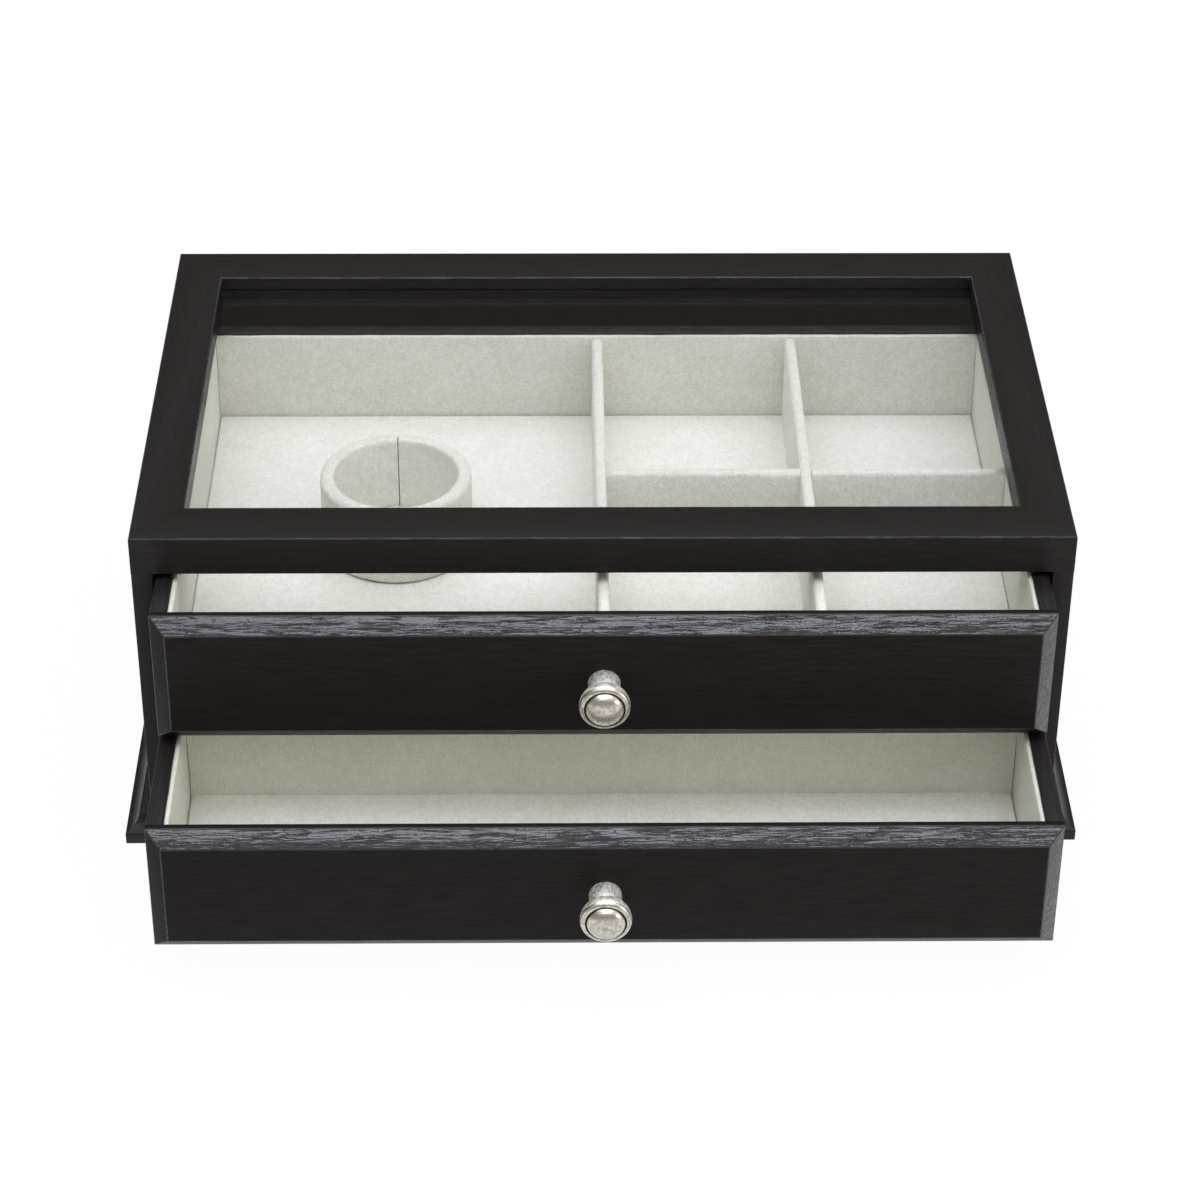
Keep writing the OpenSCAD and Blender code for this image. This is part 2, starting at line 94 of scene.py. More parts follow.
camera = bpy.data.objects.new("camera", bpy.data.cameras.new("camera"))
camera.data.sensor_width = SENSOR
camera.data.lens = LENS
camera.data.clip_start = 0.05
camera.matrix_world = placed
bpy.context.scene.collection.objects.link(camera)
bpy.context.scene.camera = camera
bpy.context.scene.view_settings.view_transform = "Standard"
print("camera looks along", [round(v, 3) for v in forward])

# %% [markdown]
# ## Helpers for materials
#
# A material is a small graph of nodes. Colours are easier to choose as the hex
# values of a paint chart, which are stored with a curve, so one function takes
# that curve off. Another adds a node with its settings and its links in one go.


# %% Colour and node helpers
def linear(code):
    """A paint chart's hex colour as the linear values that a shader wants."""
    values = [int(code[i : i + 2], 16) / 255 for i in (1, 3, 5)]
    return [v / 12.92 if v <= 0.04045 else ((v + 0.055) / 1.055) ** 2.4 for v in values] + [1]


def add(tree, kind, inputs=None, **settings):
    """Add a node. Inputs are values, or sockets of other nodes to link from."""
    made = tree.nodes.new(kind)
    for name, value in settings.items():
        setattr(made, name, value)
    for name, value in (inputs or {}).items():
        if isinstance(value, bpy.types.NodeSocket):
            tree.links.new(value, made.inputs[name])
        else:
            made.inputs[name].default_value = value
    return made


def new_finish(name, sockets):
    """A material with one Principled shader whose sockets are set directly."""
    finish = bpy.data.materials.new(name)
    finish.use_nodes = True
    shader = finish.node_tree.nodes["Principled BSDF"]
    for socket, value in sockets.items():
        shader.inputs[socket].default_value = value
    return finish, finish.node_tree, shader


# %% [markdown]
# ## Black lacquer over open grain
#
# The case is an open-grained wood, stained black and sprayed with a few thin coats
# of satin lacquer. The lacquer bridges the flat faces, where only dust nibs and a
# trace of the pores show, and it sinks into the pores on the bevels, which are cut
# across the growth rings. So the grain is in the relief more than in the colour:
# long narrow noise, stretched along the board, drives a bump. A picture of wood
# would not turn with each board; noise on the piece's own coordinates does.

# %% Sizes of the grain
PORE_LENGTH = 12 * MM
PORE_WIDTH = 0.8 * MM  # real pores are about 0.3 mm, drawn coarser so that they show
RAY_LENGTH = 3 * MM
RAY_WIDTH = 0.4 * MM
NIB_SIZE = 1.1 * MM  # dust nibs in the lacquer
WAVE_LENGTH = 24 * MM  # slow waves that a hand plane leaves along a bevel
WAVE_WIDTH = 2.6 * MM


# %% [markdown]
# On a mitred frame the grain turns at the mitres. There the board's direction is
# worked out from how far a point lies past the opening's edge, as a share of the
# rail's width: the larger share tells which rail the point is on.


# %% Direction of the grain
def along_grain(tree, run, opening=None):
    """Object coordinates turned so that X runs along the board's grain."""
    place = add(tree, "ShaderNodeTexCoord").outputs["Object"]
    if run == "x":
        return place
    axes = add(tree, "ShaderNodeSeparateXYZ", {"Vector": place})
    across = add(tree, "ShaderNodeCombineXYZ", {0: axes.outputs[1], 1: axes.outputs[0], 2: axes.outputs[2]})
    if run == "y":
        return across.outputs[0]
    shares = []
    for axis, (half, width) in enumerate(opening):
        size = add(tree, "ShaderNodeMath", {0: axes.outputs[axis]}, operation="ABSOLUTE")
        past = add(tree, "ShaderNodeMath", {0: size.outputs[0], 1: half}, operation="SUBTRACT")
        shares.append(add(tree, "ShaderNodeMath", {0: past.outputs[0], 1: width}, operation="DIVIDE").outputs[0])
    on_side = add(tree, "ShaderNodeMath", {0: shares[0], 1: shares[1]}, operation="GREATER_THAN")
    turned = add(
        tree, "ShaderNodeMix",
        {0: on_side.outputs[0], 4: place, 5: across.outputs[0]}, data_type="VECTOR",
    )
    return turned.outputs[1]


# %% Lacquer and stain
def open_grained(
    name, run, opening=None, relief=1.0, rays=1.0, waves=0.0, coarse=1.0, edge=(0.4, 0.62),
    low="#1d1a19", high="#272423", gloss=0.3, shine=0.1,
):
    """Wood with open pores under a thin finish, between two near tones."""
    finish, tree, shader = new_finish(name, {"Specular IOR Level": shine})
    along = along_grain(tree, run, opening)
    layers = {}
    for part, length, width, detail in (
        ("pores", PORE_LENGTH * coarse, PORE_WIDTH * coarse, 3.0),
        ("rays", RAY_LENGTH, RAY_WIDTH, 2.0),
        ("nibs", NIB_SIZE, NIB_SIZE, 2.0),
        ("waves", WAVE_LENGTH, WAVE_WIDTH, 3.0),
    ):
        scaled = add(
            tree, "ShaderNodeMapping",
            {"Vector": along, "Scale": (1 / length, 1 / width, 1 / width)},
        )
        layers[part] = add(
            tree, "ShaderNodeTexNoise",
            {"Vector": scaled.outputs[0], "Scale": 1.0, "Detail": detail, "Roughness": 0.6},
        ).outputs[0]
    open_pores = add(tree, "ShaderNodeMapRange", {"Value": layers["pores"], "From Min": edge[0], "From Max": edge[1]})
    raised = add(tree, "ShaderNodeMapRange", {"Value": layers["nibs"], "From Min": 0.66, "From Max": 0.78})
    thin = add(tree, "ShaderNodeMath", {0: layers["rays"], 1: rays}, operation="MULTIPLY")
    grain = add(tree, "ShaderNodeMath", {0: thin.outputs[0], 1: open_pores.outputs[0]}, operation="SUBTRACT")
    fine = add(tree, "ShaderNodeMath", {0: grain.outputs[0], 1: raised.outputs[0]}, operation="ADD")
    slow = add(tree, "ShaderNodeMath", {0: layers["waves"], 1: waves}, operation="MULTIPLY")
    surface = add(tree, "ShaderNodeMath", {0: fine.outputs[0], 1: slow.outputs[0]}, operation="ADD")
    bump = add(
        tree, "ShaderNodeBump",
        {"Height": surface.outputs[0], "Strength": 0.8, "Distance": 0.06 * relief * MM},
    )
    tone = add(
        tree, "ShaderNodeMix",
        {0: open_pores.outputs[0], 6: linear(low), 7: linear(high)}, data_type="RGBA",
    )
    dull = add(
        tree, "ShaderNodeMapRange",
        {"Value": open_pores.outputs[0], "To Min": gloss * 1.3, "To Max": gloss * 0.9},
    )
    tree.links.new(tone.outputs[2], shader.inputs["Base Color"])
    tree.links.new(dull.outputs[0], shader.inputs["Roughness"])
    tree.links.new(bump.outputs[0], shader.inputs["Normal"])
    return finish


TOP_OPENING = ((136 * MM, 16.5 * MM), (76.5 * MM, 18.5 * MM))
PLINTH_OPENING = ((156.5 * MM, 4.8 * MM), (95 * MM, 4.8 * MM))
# Flat faces are rubbed down after spraying, so little grain and gloss is left.
black_x = open_grained("black_satin_lacquer_along_x", "x", relief=0.5, shine=0.15)
black_y = open_grained("black_satin_lacquer_along_y", "y", relief=0.5, shine=0.15)
black_front = open_grained(
    "black_satin_lacquer_drawer_front", "x", relief=0.6, low="#1b1817", high="#211e1d", shine=0.07
)
# Bevels are cut across the rings and can't be rubbed, so pores and gloss stay.
# The lighter, bluish base tone is a painted sheen, and only the bevels that face the
# light get this finish.
black_bevel_painted_sheen = open_grained(
    "black_satin_lacquer_on_bevel", "x", relief=14.0, rays=0.1, waves=1.0, coarse=1.3, edge=(0.54, 0.62),
    low="#242529", high="#131315", gloss=0.16, shine=1.0,
)
# An arris is touched by one pass of fine paper and keeps most of its gloss, which
# the eye reads as a thin broken line of light.
black_arris = open_grained("black_satin_lacquer_on_arris", "x", relief=3.0, rays=0.5, waves=1.0, gloss=0.25, shine=0.45)
black_frame = open_grained(
    "black_satin_lacquer_top_frame", "mitred", TOP_OPENING, relief=0.5, low="#201d1c", high="#262322", shine=0.13
)
black_plinth = open_grained("black_satin_lacquer_plinth", "mitred", PLINTH_OPENING, relief=0.8, shine=0.2)
# Boards out of sight get stain and no lacquer, so they are browner and duller.
stain = open_grained("dark_stained_board", "x", relief=0.7, low="#241d19", high="#2f2722", gloss=0.6, shine=0.25)
beech = open_grained("plain_planed_beech", "x", relief=0.4, low="#b08e63", high="#c4a274", gloss=0.55, shine=0.4)
print("grain", PORE_LENGTH / MM, "by", PORE_WIDTH / MM, "mm")

# %% [markdown]
# ## Flocked felt
#
# The linings are card wrapped in a short flocked felt. Its fibres lie in every
# direction, so the eye sees a fine mottle with no gloss. Noise of three sizes
# gives the mottle: single fibres, the brushed patches that a thumb leaves, and a
# slow cloud over the whole board. The first two also lift the surface, and a weak
# sheen stands for the fibre ends that catch light at the rim.

# %% Felt
FIBRE = 0.7 * MM  # real ones are 0.1 mm and lie in tufts of about this size
BRUSHED_PATCH = 2.8 * MM
CLOUD = 18 * MM
PATCH_SHARE, CLOUD_SHARE = 0.5, 0.25  # how much each adds to the single fibres
NAP_DEPTH = 0.26 * MM


def flocked(name, low, high):
    """Short flocked felt, mottled between two tones."""
    finish, tree, shader = new_finish(
        name, {"Roughness": 0.95, "Specular IOR Level": 0.1, "Sheen Weight": 0.2, "Sheen Roughness": 0.5}
    )
    place = add(tree, "ShaderNodeTexCoord").outputs["Object"]
    fibres, patches, clouds = (
        add(
            tree, "ShaderNodeTexNoise",
            {"Vector": place, "Scale": 1 / size, "Detail": detail, "Roughness": 0.6},
        ).outputs[0]
        for size, detail in ((FIBRE, 2.0), (BRUSHED_PATCH, 4.0), (CLOUD, 2.0))
    )
    brushed = add(tree, "ShaderNodeMath", {0: patches, 1: PATCH_SHARE}, operation="MULTIPLY")
    nap = add(tree, "ShaderNodeMath", {0: fibres, 1: brushed.outputs[0]}, operation="ADD")
    cloudy = add(tree, "ShaderNodeMath", {0: clouds, 1: CLOUD_SHARE}, operation="MULTIPLY")
    mottle = add(tree, "ShaderNodeMath", {0: nap.outputs[0], 1: cloudy.outputs[0]}, operation="ADD")
    share = add(tree, "ShaderNodeMapRange", {"Value": mottle.outputs[0], "From Min": 0.62, "From Max": 1.13})
    tone = add(
        tree, "ShaderNodeMix",
        {0: share.outputs[0], 6: linear(low), 7: linear(high)}, data_type="RGBA",
    )
    bump = add(tree, "ShaderNodeBump", {"Height": nap.outputs[0], "Strength": 0.8, "Distance": NAP_DEPTH})
    tree.links.new(tone.outputs[2], shader.inputs["Base Color"])
    tree.links.new(bump.outputs[0], shader.inputs["Normal"])
    return finish


pale_felt = flocked("off_white_flocked_felt", "#d8d7cb", "#f3f2ea")
# The linings and the lower drawer's dividers get a darker copy of the felt, painted
# shade for walls that take less light, and the floor pads a lighter copy, painted
# light for floors lit from above.
lining_felt_painted_shade = flocked("off_white_flocked_felt_pressed", "#cbcabd", "#e5e4da")
pad_felt_painted_light = flocked("off_white_flocked_felt_brushed", "#e6e5da", "#fbfaf5")
dark_felt = flocked("charcoal_pressed_felt", "#242225", "#343235")

# %% [markdown]
# ## Nickel, steel and glass
#
# The knobs are turned, plated with nickel and tumbled, which leaves a soft mottled
# shine, darker where the polish never reached. The foot and the back of the head are
# blasted, which leaves them duller, and their colour is painted paler than nickel as
# painted light, so that they read bright. Glass is drawn as glass with one
# addition: a ray on its way to a lamp passes straight through, as it nearly does
# through a thin flat pane, so the drawer under it is lit.

# %% Metals and glass
TUMBLE_MARK = 1.3 * MM


def tumbled(name, low, high, rough):
    """Tumbled metal, mottled between a dull tone and a bright one."""
    finish, tree, shader = new_finish(name, {"Metallic": 1.0})
    place = add(tree, "ShaderNodeTexCoord").outputs["Object"]
    marks = add(
        tree, "ShaderNodeTexNoise",
        {"Vector": place, "Scale": 1 / TUMBLE_MARK, "Detail": 5.0, "Roughness": 0.65},
    ).outputs[0]
    share = add(tree, "ShaderNodeMapRange", {"Value": marks, "From Min": 0.35, "From Max": 0.65})
    tone = add(
        tree, "ShaderNodeMix",
        {0: share.outputs[0], 6: linear(low), 7: linear(high)}, data_type="RGBA",
    )
    polish = add(
        tree, "ShaderNodeMapRange",
        {"Value": share.outputs[0], "To Min": rough * 1.4, "To Max": rough * 0.7},
    )
    bump = add(tree, "ShaderNodeBump", {"Height": marks, "Strength": 0.4, "Distance": 0.03 * MM})
    tree.links.new(tone.outputs[2], shader.inputs["Base Color"])
    tree.links.new(polish.outputs[0], shader.inputs["Roughness"])
    tree.links.new(bump.outputs[0], shader.inputs["Normal"])
    return finish


knob_nickel = tumbled("tumbled_satin_nickel", "#aaa49a", "#d8d4ca", 0.27)
# The foot and the back of the head are blasted and never polished, so they spread
# the light of the whole sky where a smoother face would mirror the black front.
# Their near-white colour, paler than nickel, is painted light.
back_nickel_painted_light = tumbled("blasted_nickel_behind_the_head", "#e6e3da", "#fbf9f2", 0.58)
groove_nickel = tumbled("blackened_nickel_groove", "#1c1a18", "#3a3632", 0.5)
zinc_steel = tumbled("zinc_plated_steel", "#7c7e80", "#a9abad", 0.4)
# The bead pins are blackened, so that nobody sees them through the glass.
black_steel = tumbled("blackened_steel", "#141312", "#1f1d1c", 0.6)

clear_glass, pane, pane_shader = new_finish(
    "clear_float_glass",
    {"Base Color": linear("#f9f9f9"), "Roughness": 0.0, "IOR": 1.45, "Transmission Weight": 1.0},
)
to_lamp = add(pane, "ShaderNodeLightPath").outputs["Is Shadow Ray"]
# A pane and the dust on it take a little of the light that passes through.
unbent = add(pane, "ShaderNodeBsdfTransparent", {"Color": linear("#f0f0f0")})
glazed = add(pane, "ShaderNodeMixShader", {0: to_lamp, 1: pane_shader.outputs[0], 2: unbent.outputs[0]})
pane.links.new(glazed.outputs[0], pane.nodes["Material Output"].inputs[0])

# %% [markdown]
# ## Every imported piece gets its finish
#
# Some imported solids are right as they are, and only take a material. Its name is
# looked up by the slot that the record gives the piece, and a short list names
# the boards whose grain runs another way.

# %% Finishes by slot
slot_of = {name: node.data.materials[0].name for name, node in boards.items()}
body_of = {name: node.parent.name.split(":")[1] for name, node in boards.items()}
BY_SLOT = {
    "lacquered_wood": black_x, "stained_wood": stain, "beech": beech, "pale_felt": pale_felt,
    "dark_felt": dark_felt, "clear_glass": clear_glass, "satin_nickel": knob_nickel, "steel": zinc_steel,
}
ALONG_Y = ("side", "glass_bead_left", "glass_bead_right")


def finish_of(name):
    """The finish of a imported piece."""
    if name == "bead_pins":
        return black_steel
    if name == "bracelet_ring_core":
        return stain
    if slot_of[name] == "lacquered_wood" and any(word in name for word in ALONG_Y):
        return black_y
    return BY_SLOT[slot_of[name]]


for name, node in boards.items():
    node.material_slots[0].material = finish_of(name)
print("slots", sorted(set(slot_of.values())))

# %% [markdown]
# ## Dressing a board
#
# A sharp edge never catches light, and a real one does, because sandpaper has
# rounded it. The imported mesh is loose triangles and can't be changed, so a copy is
# merged, its flat faces are joined again, and the chosen edges are bevelled.


# %% Copy, ease and hand over
def merged(names, skip=None):
    """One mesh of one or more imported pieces, with flat faces joined."""
    mesh = bmesh.new()
    for name in names:
        mesh.from_mesh(boards[name].data)
    if skip:
        bmesh.ops.delete(mesh, geom=[face for face in mesh.faces if skip(face)], context="FACES")
    bmesh.ops.remove_doubles(mesh, verts=mesh.verts, dist=0.002 * MM)
    bmesh.ops.dissolve_limit(mesh, angle_limit=math.radians(1), verts=mesh.verts, edges=mesh.edges)
    return mesh


def ease(mesh, radius, chosen, steps=3, slot=0):
    """Round the sharp edges that a test picks, in the finish of one slot."""
    sharp = [
        edge for edge in mesh.edges
        if len(edge.link_faces) == 2 and edge.calc_face_angle() > math.radians(25)
        and edge.calc_length() > 4 * MM and chosen(edge)
    ]
    bmesh.ops.bevel(
        mesh, geom=sharp, offset=radius, segments=steps, profile=0.5, affect="EDGES", clamp_overlap=True,
        material=slot,
    )
    return len(sharp)


def hand_over(mesh, piece_name, names, finishes, crease=35):
    """Make the object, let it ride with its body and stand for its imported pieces."""
    data = bpy.data.meshes.new(piece_name)
    mesh.to_mesh(data)
    mesh.free()
    data.shade_smooth()
    data.set_sharp_from_angle(angle=math.radians(crease))
    for finish in finishes:
        data.materials.append(finish)
    piece = bpy.data.objects.new(piece_name, data)
    bpy.context.scene.collection.objects.link(piece)
    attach(piece, body_of[names[0]])
    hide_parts(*names)
    return piece


# %% [markdown]
# ## The top frame and the plinth, each as one
#
# Both are mitred from four lengths and lacquered afterwards, so no joint shows in
# the finish. The four packed lengths are brought together, the faces inside the
# mitres are taken out, and only the arrises that a hand can reach are eased: the
# frame's lower edge runs flush into the side panels and stays as it is.


# %% Mitred rings
def on_mitre(outer, inner):
    """A test for faces that lie in the mitre between two corners of a frame."""
    run, rise = outer[0] - inner[0], outer[1] - inner[1]

    def lies(face):
        # A rail's flat top also has all its corners on mitre lines, so the face
        # must stand upright and look along both axes as well.
        if abs(face.normal.z) > 0.1 or min(abs(face.normal.x), abs(face.normal.y)) < 0.3:
            return False
        return all(
            abs((abs(v.co.x) - inner[0]) * rise - (abs(v.co.y) - inner[1]) * run) / math.hypot(run, rise) < 0.01 * MM
            for v in face.verts
        )

    return lies


SIDES = ("front", "rear", "left", "right")
rails = [f"frame_rail_{side}" for side in SIDES]
top = merged(rails, on_mitre((152.5 * MM, 95 * MM), (136 * MM, 76.5 * MM)))
eased = ease(top, 0.45 * MM, lambda edge: all(v.co.z > 120.9 * MM for v in edge.verts), slot=1)
hand_over(top, "top_frame", rails, [black_frame, black_arris])
print("top frame, arrises eased", eased)

mouldings = [f"plinth_{side}" for side in SIDES]
plinth = merged(mouldings, on_mitre((161.3 * MM, 99.8 * MM), (156.5 * MM, 95 * MM)))
eased = ease(plinth, 0.3 * MM, lambda edge: all(v.co.z < 9.9 * MM for v in edge.verts), steps=2)
hand_over(plinth, "plinth", mouldings, [black_plinth])
print("plinth, arrises eased", eased)

# %% [markdown]
# ## Side panels, base and drawer boxes
#
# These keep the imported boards' shape with eased arrises. The side panels are eased
# only at their upright edges, because the frame sits flush on top of them.

# %% Boards
EASED = {
    "side_panel": (0.4 * MM, lambda edge: abs(edge.verts[0].co.z - edge.verts[1].co.z) > 60 * MM),
    "base_board": (0.5 * MM, lambda edge: True),
    "drawer_side": (0.5 * MM, lambda edge: True),
    "drawer_back": (0.5 * MM, lambda edge: True),
    "drawer_front": (0.3 * MM, lambda edge: True),
}
for name in sorted(boards):
    for word, (radius, chosen) in EASED.items():
        if word in name and "lining" not in name:
            board = merged([name])
            front = word == "drawer_front"
            eased = ease(board, radius, chosen, slot=int(front))
            finish = black_front if front else finish_of(name)
            board.normal_update()
            for face in board.faces:
                # The top bevel and the right one, which face the light, get the bevel finish with its
                # painted sheen; the left bevel keeps the front's own finish.
                cut = -face.normal.y > 0.3 and max(face.normal.z, face.normal.x) > 0.3
                if front and cut and face.material_index == 0:
                    face.material_index = 2
            finishes = [finish, black_arris, black_bevel_painted_sheen] if front else [finish]
            hand_over(board, f"{name}_eased", [name], finishes)
            print(name, "arrises eased", eased)

# %% [markdown]
# ## Felt-covered boards
#
# Card wrapped in felt is never flat: the felt rounds the edges and ripples by a
# tenth of a millimetre where the glue holds it. The board is cut into a grid so
# that it has points to move, its top edges are rounded, and noise moves them.


# %% Soft boards
def grid(mesh, step):
    """Cut a mesh by planes across all three axes, one every step."""
    for axis in range(3):
        low = min(v.co[axis] for v in mesh.verts)
        high = max(v.co[axis] for v in mesh.verts)
        count = int((high - low) / step)
        for i in range(1, count + 1):
            normal = Vector((0, 0, 0))
            normal[axis] = 1
            bmesh.ops.bisect_plane(
                mesh, geom=mesh.verts[:] + mesh.edges[:] + mesh.faces[:], dist=1e-7,
                plane_co=normal * (low + (high - low) * i / (count + 1)), plane_no=normal,
            )


def ripple(mesh, size, depth):
    """Move every point along its normal by noise of one size."""
    mesh.normal_update()
    for point in mesh.verts:
        point.co += point.normal * noise.noise(point.co / size) * depth


def crest_faces(mesh, depth):
    """Corners of the faces that look up within a depth of the highest point."""
    mesh.normal_update()
    crest = max(v.co.z for v in mesh.verts)
    return [
        [v.co.copy() for v in face.verts] for face in mesh.faces
        if face.normal.z > 0.25 and face.calc_center_median().z > crest - depth
    ]


BOARD_GRID = 4.5 * MM
RIPPLES = ((9 * MM, 0.14 * MM), (2.4 * MM, 0.05 * MM))  # width and depth of each
WRAP_RADIUS, DIVIDER_RADIUS = 0.65 * MM, 1.5 * MM
AT_CREST = 0.05 * MM  # a point this near the top belongs to the top edge

crests = {"upper_drawer": [], "lower_drawer": []}
for name in sorted(boards):
    if slot_of[name] == "pale_felt" and "cover" not in name and "pad" not in name:
        board = merged([name])
        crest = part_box(name)[1].z
        radius = DIVIDER_RADIUS if "divider" in name else WRAP_RADIUS
        ease(board, radius, lambda edge: all(v.co.z > crest - AT_CREST for v in edge.verts), steps=4)
        grid(board, BOARD_GRID)
        for width, depth in RIPPLES:
            ripple(board, width, depth)
        crests[body_of[name]] += crest_faces(board, 1.6 * MM)
        # Linings and the lower drawer's dividers take the copy with painted shade; the upper dividers keep the plain
        # felt.
        felt = pale_felt if "divider" in name and "lower" not in name else lining_felt_painted_shade
        hand_over(board, f"{name}_wrapped", [name], [felt], crease=60)
        print(name, "wrapped")

# %% [markdown]
# ## Floor pads
#
# The floors are thin pads, so their edges are fuller and the cloth lies in slow
# waves. The waves only rise, so that the dividers sink into the pad a little and
# never stand clear of it.

# %% Floor pads
PAD_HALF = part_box("upper_floor_pad")[1].x
PAD_RADIUS, PAD_GRID = 1.1 * MM, 5 * MM
LET_OUT = 0.32 * MM  # felt is pressed in tight, to a hair from the linings
PAD_SKIN = 0.4 * MM  # only points this near the top lie in the cloth's waves
PAD_WAVE, PAD_RISE = 26 * MM, 0.22 * MM
for name in ("upper_floor_pad", "lower_floor_pad"):
    pad = merged([name])
    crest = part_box(name)[1].z
    ease(pad, PAD_RADIUS, lambda edge: all(v.co.z > crest - AT_CREST for v in edge.verts), steps=4)
    grid(pad, PAD_GRID)
    for point in pad.verts:
        point.co.x *= 1 + LET_OUT / PAD_HALF
        if point.co.z > crest - PAD_SKIN:
            point.co.z += (0.5 + 0.5 * noise.noise(point.co / PAD_WAVE)) * PAD_RISE
    piece = hand_over(pad, f"{name}_soft", [name], [pad_felt_painted_light], crease=60)
    print(name, "faces", len(piece.data.polygons))

# %% [markdown]
# ## The bracelet ring
#
# The ring is a tube of card under felt, whose cover meets in one upright seam.
# Its shape follows a rule, a rounded section carried round a circle, so Geometry
# Nodes make it: the sizes stay as named inputs, and the seam is a dip whose depth
# falls off with the distance from one angle. The felt is stretched over the outer
# lip, which is round, and cut close at the inner one, which is crisp.

# %% Ring tree
RING_AT = Vector((-69.85, -23.05, 71.55)) * MM
RING_SIZES = {
    "Middle Radius": 23.6 * MM, "Wall": 4.6 * MM, "Height": 27.5 * MM,
    "Outer Lip": 1.6 * MM, "Inner Lip": 0.5 * MM,
}
ROUND_STEPS = 480
SEAM_AT = math.radians(90.4)
SEAM_SHADE_WIDTH = math.radians(360 / ROUND_STEPS)  # one face of the ring
SEAM_SPREAD, SEAM_DEPTH = 0.014, 0.55 * MM  # in radians round the ring, and inwards
FELT_WAVE, FELT_RISE = 7 * MM, 0.25 * MM

tree = bpy.data.node_groups.new("felt_ring", "GeometryNodeTree")
for label in RING_SIZES:
    tree.interface.new_socket(label, in_out="INPUT", socket_type="NodeSocketFloat")
tree.interface.new_socket("Geometry", in_out="OUTPUT", socket_type="NodeSocketGeometry")
sizes = add(tree, "NodeGroupInput").outputs
circle = add(tree, "GeometryNodeCurvePrimitiveCircle", {"Resolution": ROUND_STEPS, "Radius": sizes["Middle Radius"]})
section = add(
    tree, "GeometryNodeCurvePrimitiveQuadrilateral", {"Width": sizes["Wall"], "Height": sizes["Height"]}
)
corner = add(tree, "ShaderNodeSeparateXYZ", {0: add(tree, "GeometryNodeInputPosition").outputs[0]})
outside = add(tree, "ShaderNodeMath", {0: corner.outputs[0], 1: 0.0}, operation="GREATER_THAN")
lip = add(
    tree, "ShaderNodeMix",
    {0: outside.outputs[0], 2: sizes["Inner Lip"], 3: sizes["Outer Lip"]}, data_type="FLOAT",
)
rounded = add(
    tree, "GeometryNodeFilletCurve",
    {"Curve": section.outputs[0], "Count": 6, "Radius": lip.outputs[0]}, mode="POLY",
)
even = add(tree, "GeometryNodeResampleCurve", {"Curve": rounded.outputs[0], "Count": 60})
wall = add(tree, "GeometryNodeCurveToMesh", {"Curve": circle.outputs[0], "Profile Curve": even.outputs[0]})
here = add(tree, "GeometryNodeInputPosition").outputs[0]
parts_of = add(tree, "ShaderNodeSeparateXYZ", {0: here})
angle = add(tree, "ShaderNodeMath", {0: parts_of.outputs[1], 1: parts_of.outputs[0]}, operation="ARCTAN2")
off = add(tree, "ShaderNodeMath", {0: angle.outputs[0], 1: SEAM_AT}, operation="SUBTRACT")
width = add(tree, "ShaderNodeMath", {0: off.outputs[0], 1: SEAM_SPREAD}, operation="DIVIDE")
squared = add(tree, "ShaderNodeMath", {0: width.outputs[0], 1: 2.0}, operation="POWER")
below = add(tree, "ShaderNodeMath", {0: squared.outputs[0], 1: -1.0}, operation="MULTIPLY")
bell = add(tree, "ShaderNodeMath", {0: below.outputs[0]}, operation="EXPONENT")
dip = add(tree, "ShaderNodeMath", {0: bell.outputs[0], 1: -SEAM_DEPTH}, operation="MULTIPLY")
soft = add(tree, "ShaderNodeTexNoise", {"Vector": here, "Scale": 1 / FELT_WAVE, "Detail": 2.0})
wave = add(tree, "ShaderNodeMapRange", {"Value": soft.outputs[0], "To Min": -FELT_RISE, "To Max": FELT_RISE})
moved = add(tree, "ShaderNodeMath", {0: dip.outputs[0], 1: wave.outputs[0]}, operation="ADD")
push = add(
    tree, "ShaderNodeVectorMath",
    {0: add(tree, "GeometryNodeInputNormal").outputs[0], "Scale": moved.outputs[0]}, operation="SCALE",
)
worn = add(tree, "GeometryNodeSetPosition", {"Geometry": wall.outputs[0], "Offset": push.outputs[0]})
real = add(tree, "GeometryNodeRealizeInstances", {0: worn.outputs[0]})
felted = add(tree, "GeometryNodeSetMaterial", {"Geometry": real.outputs[0], "Material": pale_felt})
add(tree, "NodeGroupOutput", {0: felted.outputs[0]})


# %% Evaluate a tree into a plain mesh
def grown(tree, values, source=None):
    """Run a tree once with these inputs and keep what it makes as a mesh."""
    carrier = bpy.data.objects.new("carrier", source or bpy.data.meshes.new("carrier"))
    bpy.context.scene.collection.objects.link(carrier)
    modifier = carrier.modifiers.new("nodes", "NODES")
    modifier.node_group = tree
    for item in tree.interface.items_tree:
        if item.in_out == "INPUT" and item.name in values:
            modifier[item.identifier] = values[item.name]
    ready = carrier.evaluated_get(bpy.context.evaluated_depsgraph_get())
    made = bpy.data.meshes.new_from_object(ready)
    carrier.modifiers.remove(modifier)
    bpy.data.objects.remove(carrier)
    return made


ring_mesh = grown(tree, RING_SIZES)
spans = [max(v.co[a] for v in ring_mesh.vertices) - min(v.co[a] for v in ring_mesh.vertices) for a in range(3)]
print("ring spans in mm", [round(span / MM, 1) for span in spans])
ring = bmesh.new()
ring.from_mesh(ring_mesh)
foot = min(v.co.z for v in ring.verts)
bmesh.ops.translate(ring, verts=ring.verts, vec=RING_AT - Vector((0, 0, foot)))
bmesh.ops.recalc_face_normals(ring, faces=ring.faces)
